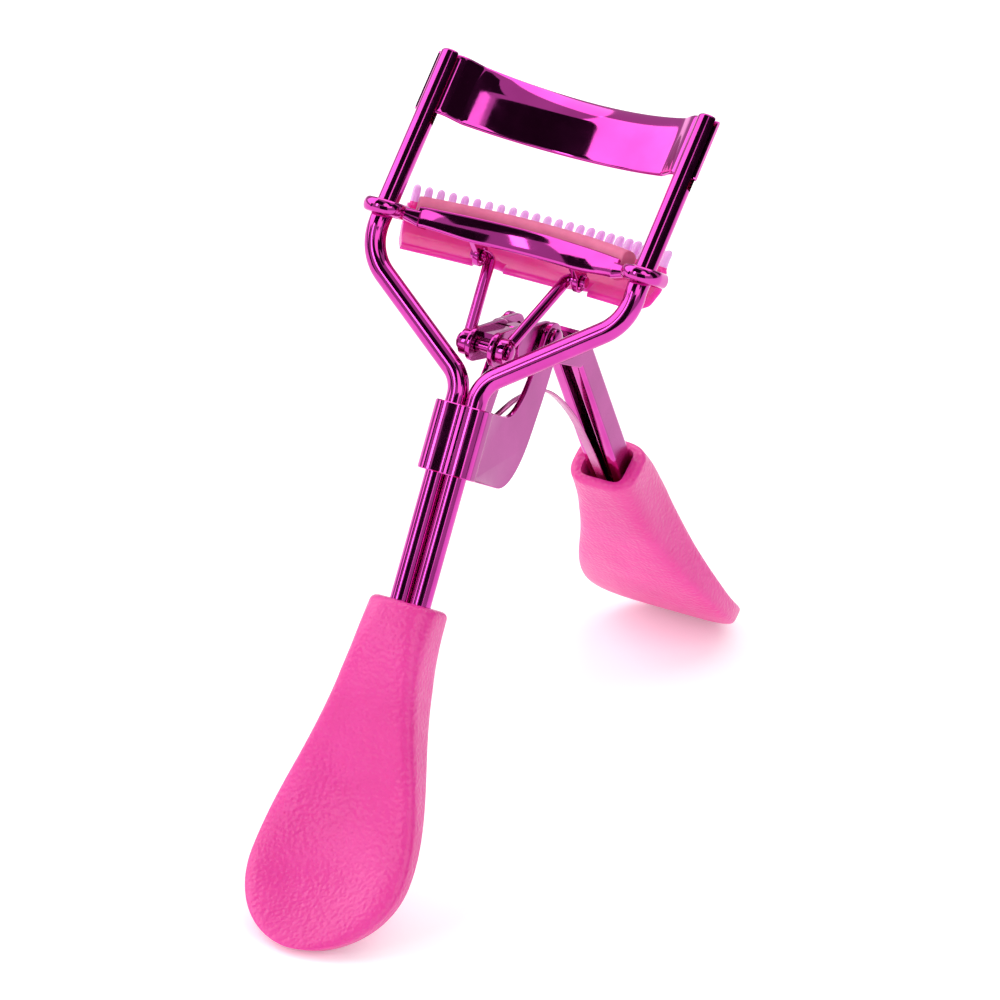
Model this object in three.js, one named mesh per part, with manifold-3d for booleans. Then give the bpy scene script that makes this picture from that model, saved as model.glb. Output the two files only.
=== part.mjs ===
// Eyelash curler with built-in comb, standing open on the ends of its two grips.
// Millimetres, +Z up. X runs across the jaws, -Y is the side of the front (frame) lever.
import * as THREE from 'three';
import { mergeVertices } from 'three/addons/utils/BufferGeometryUtils.js';
import Module from 'manifold-3d';

const wasm = await Module();
wasm.setup();

// ---------- driving dimensions ----------
const FULCRUM = new THREE.Vector3(0, 0, 56.8);   // pivot of the two levers above the floor
const FRONT_LEAN = 28.3;                         // front stem from vertical, leaning back (deg)
const REAR_LEAN = 33.5;                          // rear stem from vertical (deg)
const HEAD_LEAN = 18.2;                          // uprights bent back from the front stem (deg)
const GAP = 0.3;                                 // clearance between pieces that touch

const WIRE_R = 1.25;                             // frame wire radius
const WIRE_X = 1.27;                             // half spacing of the two wires in the stem
const STEM_Y = -12.33;                           // wire plane in front of the fulcrum
const HALF_SPAN = 16.5;                          // uprights, half centre distance
const ARM_FOOT_Z = -7.1;                         // where the arms leave the stem
const ARM_TOP_Z = 4.0;                           // where the arms meet the uprights
const HEAD_Z = 7.7;                              // start of the leaning uprights
const UPRIGHT_LEN = 22.5;

const JAW_R = 28;                                // radius of the jaw curve
const JAW_SAG_X = HALF_SPAN;                     // the curve passes through the uprights
const BAND_H = 7.1;                              // upper jaw band height
const BAND_TOP_DROP = 0.5;                       // band below the upright ends
const JAW_ARCH = 1.0;                            // both jaws rise towards the middle
const BAND_T = 0.6;
const SLOT_W = 1.15;
const SLOT_DEPTH = 9.3;
const JAW_REST = 2.36;                           // eyes above the start of the uprights, open

const CRANK = { y: -11.2, z: -2.8 };              // push rod pin, in the front lever's frame
const ROD_R = 0.7;                               // push rod wire radius
const ROD_TOP = { y: 6.5, z: -2.6 };             // push rod hooks, in the jaw's frame
const ROD_TOP_X = 6.4;
const ROD_EYE_X = 2.4;
const ROD_EYE_T = 0.9;

const REAR_STEM_Y = 6.05;                        // rear stem axis behind the fulcrum
const REAR_GRIP_Y = 5.6;                         // rear grip axis, leaving room for the spring
const FRONT_SOCKET = { width: 5.7, height: 3.1 };
const REAR_SOCKET = { width: 5.6, height: 5.0 };
const GRIP_LEN = 41;
const GRIP_END_R = 9.65;                         // round end of a grip
const FRONT_MOUTH_Z = -33.2;                     // grip mouths below the fulcrum
const REAR_MOUTH_Z = -34.6;
const INSERTION = 12;                            // stems inside their grips

const rad = THREE.MathUtils.degToRad;
const archAt = (x) => JAW_ARCH * Math.max(0, 1 - (x / HALF_SPAN) ** 2);
const v3 = (x, y, z) => new THREE.Vector3(x, y, z);
const vec2 = (pairs) => pairs.map(([a, b]) => new THREE.Vector2(a, b));

// ---------- materials ----------
const metal = (color, roughness = 0.16) =>
  new THREE.MeshStandardMaterial({ color, roughness, metalness: 1 });
const plastic = (color, roughness = 0.45) =>
  new THREE.MeshStandardMaterial({ color, roughness, metalness: 0 });
const MAGENTA = 0xb0207f;
const RIVET = 0x8a1a66;

// ---------- solids ----------
function toSolid(geometry) {
  const bare = geometry.clone();
  bare.deleteAttribute('normal');
  bare.deleteAttribute('uv');
  const merged = mergeVertices(bare, 1e-4);
  const triVerts = new Uint32Array(merged.index.array);
  const vertProperties = new Float32Array(merged.attributes.position.array);
  return new wasm.Manifold(new wasm.Mesh({ numProp: 3, vertProperties, triVerts }));
}

function toGeometry(solid) {
  const mesh = solid.getMesh();
  const geometry = new THREE.BufferGeometry();
  geometry.setAttribute('position', new THREE.BufferAttribute(mesh.vertProperties, 3));
  geometry.setIndex(new THREE.BufferAttribute(mesh.triVerts, 1));
  geometry.computeVertexNormals();
  return geometry;
}

const union = (...geometries) =>
  toGeometry(geometries.map(toSolid).reduce((sum, solid) => sum.add(solid)));

function cut(geometry, ...tools) {
  const solid = tools.reduce((rest, tool) => rest.subtract(toSolid(tool)), toSolid(geometry));
  return toGeometry(solid);
}

// turns every face outwards after a reflection or a bend
function facingOut(geometry) {
  const flat = geometry.index ? geometry.toNonIndexed() : geometry;
  const p = flat.attributes.position;
  const corner = [v3(), v3(), v3()];
  let volume = 0;
  for (let i = 0; i < p.count; i += 3) {
    corner.forEach((c, k) => c.fromBufferAttribute(p, i + k));
    volume += corner[0].dot(corner[1].clone().cross(corner[2]));
  }
  if (volume < 0) {
    for (let i = 0; i < p.count; i += 3) {
      const first = v3().fromBufferAttribute(p, i);
      const last = v3().fromBufferAttribute(p, i + 2);
      p.setXYZ(i, last.x, last.y, last.z);
      p.setXYZ(i + 2, first.x, first.y, first.z);
    }
  }
  return flat;
}

function reshape(geometry, move) {
  const p = geometry.attributes.position;
  const point = v3();
  for (let i = 0; i < p.count; i++) {
    point.fromBufferAttribute(p, i);
    move(point);
    p.setXYZ(i, point.x, point.y, point.z);
  }
  return facingOut(geometry);
}

const box = (sx, sy, sz, x, y, z) => new THREE.BoxGeometry(sx, sy, sz).translate(x, y, z);

// round bar or hole along X
const barX = (radius, x0, x1, y, z, sides = 20) =>
  new THREE.CylinderGeometry(radius, radius, x1 - x0, sides)
    .rotateZ(Math.PI / 2).translate((x0 + x1) / 2, y, z);

const prism = (shape, depth, curveSegments = 5, steps = 1) =>
  new THREE.ExtrudeGeometry(shape, { depth, curveSegments, steps, bevelEnabled: false });

// plate whose outline is given in (y, z), between x0 and x1
function plateX(outline, x0, x1) {
  const shape = outline instanceof THREE.Shape ? outline : new THREE.Shape(outline);
  const plate = prism(shape, x1 - x0, 8);
  return reshape(plate, (p) => p.set(x0 + p.z, p.x, p.y));
}

// ---------- bent wire ----------
// Straight runs joined by arcs: each inner point carries its own bend radius.
class BentWire extends THREE.Curve {
  constructor(points, radii, arcSteps = 5) {
    super();
    this.stations = [];
    this.headings = [];
    const last = points.length - 1;
    this.addStation(points[0], points[1].clone().sub(points[0]).normalize());
    for (let i = 1; i < last; i++) {
      this.addBend(points[i - 1], points[i], points[i + 1], radii[i - 1], arcSteps);
    }
    this.addStation(points[last], points[last].clone().sub(points[last - 1]).normalize());
  }

  addStation(point, heading) {
    this.stations.push(point.clone());
    this.headings.push(heading.clone());
  }

  addBend(before, corner, after, radius, steps) {
    const inward = corner.clone().sub(before).normalize();
    const outward = after.clone().sub(corner).normalize();
    const turn = inward.angleTo(outward);
    const axis = inward.clone().cross(outward).normalize();
    const start = corner.clone().addScaledVector(inward, -radius * Math.tan(turn / 2));
    const toCentre = axis.clone().cross(inward).multiplyScalar(radius);
    const centre = start.clone().add(toCentre);
    for (let k = 0; k <= steps; k++) {
      const angle = (turn * k) / steps;
      const arm = toCentre.clone().negate().applyAxisAngle(axis, angle);
      this.addStation(centre.clone().add(arm), inward.clone().applyAxisAngle(axis, angle));
    }
  }

  get steps() {
    return this.stations.length - 1;
  }

  getPointAt(t, target = v3()) {
    return target.copy(this.stations[Math.round(t * this.steps)]);
  }

  getTangentAt(t, target = v3()) {
    return target.copy(this.headings[Math.round(t * this.steps)]);
  }

  getPoint(t, target) {
    return this.getPointAt(t, target);
  }

  getTangent(t, target) {
    return this.getTangentAt(t, target);
  }
}

function wire(points, radii, radius, sides = 12, arcSteps = 5) {
  const path = new BentWire(points, radii, arcSteps);
  const section = new THREE.Shape();
  for (let i = 0; i < sides; i++) {
    const a = (2 * Math.PI * i) / sides;
    section[i ? 'lineTo' : 'moveTo'](radius * Math.cos(a), radius * Math.sin(a));
  }
  section.closePath();
  const swept = { steps: path.steps, extrudePath: path, bevelEnabled: false };
  return facingOut(new THREE.ExtrudeGeometry(section, swept));
}

// ---------- pieces swept along the jaw curve ----------
// The profile is (rearward, up) from the curve; the curve bulges to +Y and its chord lies on y = 0.
const chordDrop = (radius) => Math.sqrt(radius * radius - JAW_SAG_X * JAW_SAG_X);

function alongJaw(profile, halfAngle, steps, radius = JAW_R) {
  const sweep = prism(new THREE.Shape(profile), 2 * halfAngle, 1, steps);
  return reshape(sweep, (p) => {
    const angle = p.z - halfAngle;
    const reach = radius + p.x;
    const x = reach * Math.sin(angle);
    p.set(x, reach * Math.cos(angle) - chordDrop(radius), p.y + archAt(x));
  });
}

const jawDepthAt = (x, radius = JAW_R) => Math.sqrt(radius * radius - x * x) - chordDrop(radius);

// ---------- frame wires ----------
// side is -1 for the left wire and +1 for the right one
function frameRod(side) {
  const lean = rad(HEAD_LEAN);
  const topY = STEM_Y + UPRIGHT_LEN * Math.sin(lean);
  const topZ = HEAD_Z + UPRIGHT_LEN * Math.cos(lean);
  const insideGrip = FRONT_MOUTH_Z - INSERTION;
  const rod = wire([
    v3(side * WIRE_X, STEM_Y, insideGrip),
    v3(side * WIRE_X, STEM_Y, ARM_FOOT_Z),
    v3(side * HALF_SPAN, STEM_Y, ARM_TOP_Z),
    v3(side * HALF_SPAN, STEM_Y, HEAD_Z),
    v3(side * HALF_SPAN, topY, topZ),
  ], [4, 6, 3.6], WIRE_R, 14, 6);
  const saw = box(4 * WIRE_R, SLOT_W, SLOT_DEPTH + 1, 0, 0, (1 - SLOT_DEPTH) / 2)
    .rotateX(-lean).translate(side * HALF_SPAN, topY, topZ);
  return cut(rod, saw);
}

// ---------- upper jaw ----------
// Plate curved like the lower jaw, with straight ends that lie in the slots of the uprights.
function upperJawBand() {
  const tabEnd = HALF_SPAN + WIRE_R + 0.25;
  const arcEnd = 13.6;
  const edge = (offset) => {
    const line = vec2([[-tabEnd, offset], [-HALF_SPAN + WIRE_R, offset]]);
    for (let i = 0; i <= 20; i++) {
      const x = -arcEnd + (2 * arcEnd * i) / 20;
      const reach = JAW_R + offset;
      const slope = Math.asin(x / JAW_R);
      line.push(...vec2([[reach * Math.sin(slope), reach * Math.cos(slope) - chordDrop(JAW_R)]]));
    }
    line.push(...vec2([[HALF_SPAN - WIRE_R, offset], [tabEnd, offset]]));
    return line;
  };
  const outline = [...edge(-BAND_T / 2), ...edge(BAND_T / 2).reverse()];
  const plate = prism(new THREE.Shape(outline), BAND_H, 1, 6);
  const lipStart = 4.6;
  return reshape(plate, (p) => {
    const above = Math.max(0, p.z - lipStart);
    const middle = Math.max(0, 1 - (p.x / arcEnd) ** 2);
    p.y += 0.14 * above * above * middle;
    p.z += UPRIGHT_LEN - BAND_TOP_DROP - BAND_H + archAt(p.x);
  });
}

// ---------- clasp: ferrule round the wires and two wings with ears ----------
const FERRULE = { top: -9.92, bottom: -18.05, halfX: 3.38, halfY: 2.12, wall: 0.6, corner: 1.7 };
const WING = { inner: 2.5, outer: 3.12 };
const EAR_R = 2.2;
const PIVOT_HOLE_R = 1.3;

function roundedRect(halfX, halfY, r, y0 = 0) {
  const s = new THREE.Shape();
  s.moveTo(-halfX + r, y0 - halfY);
  s.lineTo(halfX - r, y0 - halfY).absarc(halfX - r, y0 - halfY + r, r, -Math.PI / 2, 0);
  s.lineTo(halfX, y0 + halfY - r).absarc(halfX - r, y0 + halfY - r, r, 0, Math.PI / 2);
  s.lineTo(-halfX + r, y0 + halfY).absarc(-halfX + r, y0 + halfY - r, r, Math.PI / 2, Math.PI);
  s.lineTo(-halfX, y0 - halfY + r).absarc(-halfX + r, y0 - halfY + r, r, Math.PI, 1.5 * Math.PI);
  return s;
}

function wingOutline() {
  const s = new THREE.Shape();
  s.moveTo(STEM_Y + 0.3, FERRULE.top);
  s.lineTo(-7.4, FERRULE.top);
  s.bezierCurveTo(-5.0, FERRULE.top, -3.6, -7.6, -3.0, -5.0);
  s.lineTo(-EAR_R, 0);
  s.absarc(0, 0, EAR_R, Math.PI, 0, true);
  s.bezierCurveTo(2.1, -3.0, 2.0, -5.0, 1.8, -7.0);
  s.lineTo(1.2, -11.5);
  s.bezierCurveTo(0.6, -15.4, -1.4, FERRULE.bottom, -4.2, FERRULE.bottom);
  s.lineTo(STEM_Y + 0.3, FERRULE.bottom);
  return s;
}

function clasp() {
  const { top, bottom, halfX, halfY, wall, corner } = FERRULE;
  const sleeve = roundedRect(halfX, halfY, corner, STEM_Y);
  sleeve.holes.push(roundedRect(halfX - wall, halfY - wall, corner - wall, STEM_Y));
  const tube = prism(sleeve, top - bottom).translate(0, 0, bottom);
  const wings = [-1, 1].map((side) => {
    const [x0, x1] = side < 0 ? [-WING.outer, -WING.inner] : [WING.inner, WING.outer];
    return plateX(wingOutline(), x0, x1);
  });
  const bore = barX(PIVOT_HOLE_R, -5, 5, 0, 0);
  const inside = roundedRect(halfX - wall, halfY - wall, corner - wall, STEM_Y);
  const wirePath = prism(inside, top - bottom + 2).translate(0, 0, bottom - 1);
  return cut(union(tube, ...wings), bore, wirePath);
}

// rivet along X with two domed heads
function rivet(radius, headR, halfGrip, headH) {
  const half = [
    [0, halfGrip + headH],
    [headR * 0.7, halfGrip + headH * 0.75],
    [headR, halfGrip + headH * 0.2],
    [headR, halfGrip],
    [radius, halfGrip],
  ];
  const mirrored = half.map(([r, z]) => [r, -z]).reverse();
  return facingOut(new THREE.LatheGeometry(vec2([...half, ...mirrored]), 20)).rotateZ(Math.PI / 2);
}

// ---------- rear lever: one stamping, channel head and rolled stem ----------
const STEM_TOP_Z = -9.6;
const LEVER = { innerA: 1.6, outerA: 2.2, innerB: 1.12, outerB: 1.72, webT: 0.6 };
const CRANK_IN_LEVER = (() => {
  const turn = rad(FRONT_LEAN + REAR_LEAN);
  return {
    y: CRANK.y * Math.cos(turn) + CRANK.z * Math.sin(turn),
    z: CRANK.z * Math.cos(turn) - CRANK.y * Math.sin(turn),
  };
})();

function leverStem() {
  const halfX = 2.2;
  const halfY = 1.7;
  const top = STEM_TOP_Z;
  const length = INSERTION - REAR_MOUTH_Z + top;
  const section = roundedRect(halfX, halfY, 1.3, REAR_STEM_Y);
  const hollow = roundedRect(halfX - 0.6, halfY - 0.6, 0.7, REAR_STEM_Y);
  const outer = prism(section, length, 4);
  const inner = prism(hollow, length + 2, 4);
  const seam = box(0.9, 2, length + 2, 0, REAR_STEM_Y - halfY, length / 2);
  return cut(outer, inner.translate(0, 0, -1), seam).translate(0, 0, top - length);
}

function leverPlates(x0, x1, outline) {
  return [plateX(outline, x0, x1), plateX(outline, -x1, -x0)];
}

function capsuleOutline(a, b, ra, rb) {
  const along = Math.atan2(b.z - a.z, b.y - a.y);
  const gap = Math.hypot(b.z - a.z, b.y - a.y);
  const tilt = Math.acos((ra - rb) / gap);
  const s = new THREE.Shape();
  s.absarc(a.y, a.z, ra, along + tilt, along - tilt + 2 * Math.PI, false);
  s.absarc(b.y, b.z, rb, along - tilt, along + tilt, false);
  return s;
}

function leverArm() {
  const fulcrum = { y: 0, z: 0 };
  const elbow = { y: REAR_STEM_Y - 1.2, z: STEM_TOP_Z - 1.4 };
  const middle = { y: CRANK_IN_LEVER.y * 0.45, z: CRANK_IN_LEVER.z * 0.45 };
  const { innerA, outerA, innerB, outerB } = LEVER;
  const head = leverPlates(innerB, outerB, capsuleOutline(CRANK_IN_LEVER, middle, 2.0, 2.2));
  const knee = leverPlates(innerA, outerA, capsuleOutline(middle, fulcrum, 2.1, 2.15));
  const root = leverPlates(innerA, outerA, capsuleOutline(fulcrum, elbow, 2.15, 1.15));
  const web = (from, to, halfWidth, offset) => {
    const length = Math.hypot(to.y - from.y, to.z - from.z);
    const lean = Math.atan2(to.z - from.z, to.y - from.y);
    return box(2 * halfWidth, length, LEVER.webT, 0, length / 2, offset)
      .rotateX(lean).translate(0, from.y, from.z);
  };
  const bridge = { y: middle.y * 0.55, z: middle.z * 0.55 };
  const webs = [
    web(CRANK_IN_LEVER, middle, 1.5, 1.3),
    web(middle, bridge, 2.0, 1.4),
  ];
  const body = union(leverStem(), ...head, ...knee, ...root, ...webs);
  return cut(
    body,
    barX(PIVOT_HOLE_R, -5, 5, 0, 0),
    barX(0.95, -5, 5, CRANK_IN_LEVER.y, CRANK_IN_LEVER.z, 16),
  );
}

// ---------- push rods ----------
function pushRod(side) {
  const rodTop = { y: jawOrigin.y + ROD_TOP.y, z: jawOrigin.z + ROD_TOP.z };
  const bottom = v3(side * ROD_EYE_X, CRANK.y, CRANK.z);
  const top = v3(side * (ROD_TOP_X - 1.4), rodTop.y, rodTop.z);
  const along = top.clone().sub(bottom).normalize();
  const rod = wire([
    bottom.clone().addScaledVector(along, 1.25),
    top,
    v3(side * (ROD_TOP_X + 1.0), rodTop.y, rodTop.z),
  ], [0.9], ROD_R, 10, 4);
  const eyeX = side * ROD_EYE_X;
  const eye = barX(1.5, eyeX - ROD_EYE_T / 2, eyeX + ROD_EYE_T / 2, CRANK.y, CRANK.z, 20);
  return cut(union(rod, eye), barX(0.98, eyeX - 2, eyeX + 2, CRANK.y, CRANK.z, 16));
}

// ---------- lower jaw ----------
const BAR = { front: -1.8, back: 1.8, skirt: -2.5, bottom: -1.35, top: 0.45, wall: 0.5, halfAngle: 0.5 };
const jawOrigin = {
  y: STEM_Y + JAW_REST * Math.sin(rad(HEAD_LEAN)),
  z: HEAD_Z + JAW_REST * Math.cos(rad(HEAD_LEAN)),
};

// stretched ring that slides on an upright, with more play towards the rear
function jawEye(side) {
  const inner = WIRE_R + 0.3;
  const outer = inner + 1.05;
  const front = { y: -0.3, z: 0 };
  const back = { y: 1.15, z: 0 };
  const height = 1.5;
  const ring = capsuleOutline(front, back, outer, outer);
  ring.holes.push(capsuleOutline(front, back, inner, inner));
  return reshape(prism(ring, height, 10), (p) => p.set(side * HALF_SPAN + p.y, p.x, p.z - height / 2 - 0.35));
}

function jawNeck(side) {
  const from = 12.6;
  const to = HALF_SPAN - WIRE_R - 0.55;
  const points = [
    [from, jawDepthAt(from) - 1.1], [to, 0.2], [to, 2.4], [from, jawDepthAt(from) + 1.1],
  ];
  const neck = prism(new THREE.Shape(vec2(points)), 0.6);
  return reshape(neck, (p) => p.set(side * p.x, p.y, p.z + BAR.bottom));
}

function lowerJawBar() {
  const { front, back, skirt, bottom, top, wall, halfAngle } = BAR;
  const channel = alongJaw(vec2([
    [front, skirt], [front + wall, skirt], [front + wall, bottom], [back, bottom], [back, top], [back - wall, top], [back - wall, bottom + wall],
    [front + wall, bottom + wall], [front + wall, top], [front, top],
  ]), halfAngle, 14);
  return union(channel, ...[-1, 1].flatMap((side) => [jawEye(side), jawNeck(side)]));
}

function siliconePad() {
  const half = 1.02;
  const profile = [[-half, -0.55], [half, -0.55]];
  for (let i = 0; i <= 6; i++) {
    const a = (Math.PI * i) / 6;
    profile.push([half * Math.cos(a), 1.0 + 0.72 * Math.sin(a)]);
  }
  return alongJaw(vec2(profile), 0.485, 14);
}

// small bracket under the bar that a push rod hooks into
function rodLug(side) {
  const under = BAR.bottom - GAP;
  const s = new THREE.Shape();
  s.moveTo(ROD_TOP.y - 3.2, under);
  s.lineTo(ROD_TOP.y - 1.3, ROD_TOP.z);
  s.absarc(ROD_TOP.y, ROD_TOP.z, 1.35, Math.PI, 2.35 * Math.PI, false);
  s.lineTo(ROD_TOP.y + 0.1, under);
  const x0 = side * ROD_TOP_X - 0.35;
  const plate = plateX(s, x0, x0 + 0.7);
  return cut(plate, barX(ROD_R + 0.3, x0 - 1, x0 + 2, ROD_TOP.y, ROD_TOP.z, 14));
}

// ---------- comb ----------
const COMB = { radius: 28, mid: 11.08, tip: 3.4, rootZ: 1.1, teeth: 25, halfAngle: 0.632, wall: 0.8 };

function roundComb(p, angle, depth, z) {
  const reach = COMB.radius + depth;
  const x = reach * Math.sin(angle);
  p.set(x, reach * Math.cos(angle) - COMB.radius + COMB.mid, z + archAt(x) / 2);
}

function combTooth(angle, width) {
  const tall = COMB.tip - COMB.rootZ + 0.3;
  const s = new THREE.Shape();
  s.moveTo(-width / 2, 0).lineTo(width / 2, 0).lineTo(width * 0.42, tall - 0.35);
  s.lineTo(width * 0.18, tall).lineTo(-width * 0.18, tall).lineTo(-width * 0.42, tall - 0.35);
  return reshape(prism(s, 0.7), (p) => {
    const rise = p.y / tall;
    const depth = (p.z - 0.35) * (1 - 0.4 * rise) + 0.45 * rise * rise;
    roundComb(p, angle + p.x / COMB.radius, depth, COMB.rootZ - 0.3 + p.y);
  });
}

function lashComb() {
  const w = COMB.wall / 2;
  const profile = [
    [-w, COMB.rootZ], [-w, -1.2], [-1.2, -2.6], [-2.7, -3.8], [-2.6, -4.6],
    [-0.6, -3.4], [w, -1.4], [w, COMB.rootZ],
  ];
  const flat = prism(new THREE.Shape(vec2(profile)), 2 * COMB.halfAngle, 1, 16);
  const sheet = reshape(flat, (p) => roundComb(p, p.z - COMB.halfAngle, p.x, p.y));
  const pitch = (2 * COMB.halfAngle) / COMB.teeth;
  const teeth = [];
  for (let i = 0; i < COMB.teeth; i++) {
    teeth.push(combTooth(-COMB.halfAngle + pitch * (i + 0.5), 0.8));
  }
  const notches = [-1, 1].map((side) => box(3.6, 3.6, 4, side * 5.6, 6.9, -4.2));
  return cut(union(sheet, ...teeth), ...notches);
}

// ---------- leaf spring ----------
function leafSpring() {
  const course = [
    [3.75, REAR_MOUTH_Z - INSERTION + 1], [3.75, REAR_MOUTH_Z - 3], [3.4, -30], [2.3, -19.5],
    [-0.6, -10.6], [-5.6, -5.1], [-11.0, -1.6], [-14.2, 1.9],
  ].map(([y, z]) => v3(0, y, z));
  const path = new THREE.CatmullRomCurve3(course, false, 'centripetal');
  const points = path.getSpacedPoints(26);
  const halfT = 0.17;
  const halfWidth = 0.6;
  const outline = [];
  for (const side of [1, -1]) {
    const row = points.map((p, i) => {
      const ahead = points[Math.min(i + 1, points.length - 1)];
      const behind = points[Math.max(i - 1, 0)];
      const t = ahead.clone().sub(behind).normalize();
      return new THREE.Vector2(p.y - side * halfT * t.z, p.z + side * halfT * t.y);
    });
    outline.push(...(side > 0 ? row : row.reverse()));
  }
  return plateX(outline, -halfWidth, halfWidth);
}

// ---------- grips ----------
const smooth = (t) => (1 - Math.cos(Math.PI * t)) / 2;
const MOUTH_HALF_X = 4.35;
const END_CENTRE = GRIP_LEN - GRIP_END_R;

function gripHalfWidth(s) {
  if (s < END_CENTRE) {
    return MOUTH_HALF_X + (GRIP_END_R - MOUTH_HALF_X) * smooth((s / END_CENTRE) ** 1.25);
  }
  return Math.sqrt(Math.max(0, GRIP_END_R ** 2 - (s - END_CENTRE) ** 2));
}

// outer face and inner face of a grip, measured outwards from the stem's axis
const gripFace = new THREE.SplineCurve(vec2([
  [0, 3.6], [5, 4.3], [13, 3.7], [20, 2.9], [26, 2.75], [31, 3.4], [36, 5.3], [41, 7.8],
]));
const gripBack = new THREE.SplineCurve(vec2([
  [0, -3.6], [6, -3.2], [13, -2.95], [20, -2.5], [26, -1.5], [31, -0.2], [36, 1.9], [41, 5.0],
]));

function splineAt(curve, s) {
  let low = 0;
  let high = 1;
  for (let i = 0; i < 30; i++) {
    const mid = (low + high) / 2;
    if (curve.getPoint(mid).x < s) low = mid;
    else high = mid;
  }
  return curve.getPoint((low + high) / 2).y;
}

// rows are spaced evenly to the start of the round end and by angle round it
function gripStation(t) {
  const straight = 0.6;
  if (t < straight) return (t / straight) * END_CENTRE;
  const turn = ((t - straight) / (1 - straight)) * (Math.PI / 2);
  return END_CENTRE + (GRIP_END_R - 0.02) * Math.sin(turn);
}

function gripBody() {
  const rows = 24;
  const skin = new THREE.CylinderGeometry(1, 1, 1, 28, rows);
  return reshape(skin, (p) => {
    const t = 0.5 - p.y;
    const s = gripStation(t);
    const face = splineAt(gripFace, s);
    const back = splineAt(gripBack, s);
    const half = gripHalfWidth(s);
    const radial = Math.hypot(p.x, p.z);
    const angle = Math.atan2(p.z, p.x);
    const corner = 0.55 + 0.3 * Math.max(0, 1 - s / 12);
    const squarish = (c) => Math.sign(c) * Math.abs(c) ** corner;
    const across = squarish(Math.cos(angle)) * radial;
    const out = squarish(Math.sin(angle)) * radial;
    p.set(across * half, -(face + back) / 2 - (out * (face - back)) / 2, -s);
  });
}

// socket for the stem, then a small flat ground by the floor under the tip
function grip(placement, { width, height }) {
  const deep = INSERTION + 2 * GAP;
  const socket = box(width, height, 2 * deep, 0, 0, 0);
  const floor = box(80, 200, 20, 0, 0, -10).applyMatrix4(placement.clone().invert());
  return cut(gripBody(), socket, floor);
}

// ---------- assembly ----------
const curler = new THREE.Group();

function lever(lean) {
  const group = new THREE.Group();
  group.position.copy(FULCRUM);
  group.rotation.x = lean;
  curler.add(group);
  return group;
}

const frame = lever(-rad(FRONT_LEAN));
const rear = lever(rad(REAR_LEAN));

const head = new THREE.Group();
head.position.set(0, STEM_Y, HEAD_Z);
head.rotation.x = -rad(HEAD_LEAN);
frame.add(head);

const jaw = new THREE.Group();
jaw.position.set(0, jawOrigin.y, jawOrigin.z);
frame.add(jaw);

function add(group, name, geometry, material, rotationZ = 0) {
  const mesh = new THREE.Mesh(geometry, material);
  mesh.name = name;
  mesh.rotation.z = rotationZ;
  group.add(mesh);
  return mesh;
}

for (const [side, label] of [[-1, 'left'], [1, 'right']]) {
  add(frame, `${label}_frame_rod`, frameRod(side), metal(MAGENTA));
  add(frame, `${label}_push_rod`, pushRod(side), metal(MAGENTA));
  add(jaw, `${label}_rod_lug`, rodLug(side), metal(MAGENTA));
}
add(frame, 'clasp', clasp(), metal(MAGENTA));
add(frame, 'fulcrum_pin', rivet(1.0, 1.6, WING.outer + GAP, 0.6), metal(RIVET));
add(head, 'upper_jaw_band', upperJawBand(), metal(MAGENTA, 0.1));
add(jaw, 'lower_jaw_bar', lowerJawBar(), metal(MAGENTA, 0.12));
add(jaw, 'silicone_pad', siliconePad(), plastic(0xd9607f, 0.6));
add(jaw, 'lash_comb', lashComb(), plastic(0xf06ac4, 0.35));
add(rear, 'lever_arm', leverArm(), metal(MAGENTA));
const crankRivet = rivet(0.65, 1.0, ROD_EYE_X + ROD_EYE_T / 2 + GAP, 0.45);
const crankPin = add(rear, 'crank_pin', crankRivet, metal(RIVET));
crankPin.position.set(0, CRANK_IN_LEVER.y, CRANK_IN_LEVER.z);
add(rear, 'leaf_spring', leafSpring(), metal(0xd58fb8, 0.25));

function addGrip(group, name, y, z, turn, socket) {
  const mesh = add(group, name, new THREE.BufferGeometry(), plastic(0xf04ca8), turn);
  mesh.position.set(0, y, z);
  curler.updateMatrixWorld(true);
  mesh.geometry = grip(mesh.matrixWorld, socket);
}
addGrip(frame, 'front_grip', STEM_Y, FRONT_MOUTH_Z, 0, FRONT_SOCKET);
addGrip(rear, 'rear_grip', REAR_GRIP_Y, REAR_MOUTH_Z, Math.PI, REAR_SOCKET);

curler.updateMatrixWorld(true);

export default curler;
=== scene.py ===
"""Looks of the eyelash curler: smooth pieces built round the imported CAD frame, and the studio."""

import math

import bmesh
import bpy
import numpy as np
from mathutils import Matrix, Vector


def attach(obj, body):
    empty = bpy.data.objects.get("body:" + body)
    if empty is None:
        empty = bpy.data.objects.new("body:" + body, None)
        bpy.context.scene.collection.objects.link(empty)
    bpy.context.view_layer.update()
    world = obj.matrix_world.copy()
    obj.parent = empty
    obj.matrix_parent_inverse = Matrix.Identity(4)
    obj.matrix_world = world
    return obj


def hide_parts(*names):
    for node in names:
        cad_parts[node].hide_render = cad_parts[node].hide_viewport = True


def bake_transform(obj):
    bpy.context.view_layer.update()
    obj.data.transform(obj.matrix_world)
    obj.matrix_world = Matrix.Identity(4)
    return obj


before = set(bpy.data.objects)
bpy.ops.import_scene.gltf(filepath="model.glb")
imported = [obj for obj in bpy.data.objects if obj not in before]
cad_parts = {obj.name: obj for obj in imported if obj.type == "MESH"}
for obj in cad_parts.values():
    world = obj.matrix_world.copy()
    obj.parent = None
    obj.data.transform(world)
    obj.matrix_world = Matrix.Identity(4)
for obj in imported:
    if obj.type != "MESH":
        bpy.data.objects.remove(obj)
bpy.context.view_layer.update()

# ---------- driving dimensions, in millimetres, as in the CAD ----------
MM = 0.001
WHOLE_TURN = 2 * math.pi
FULCRUM = Vector((0, 0, 56.8))
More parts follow.
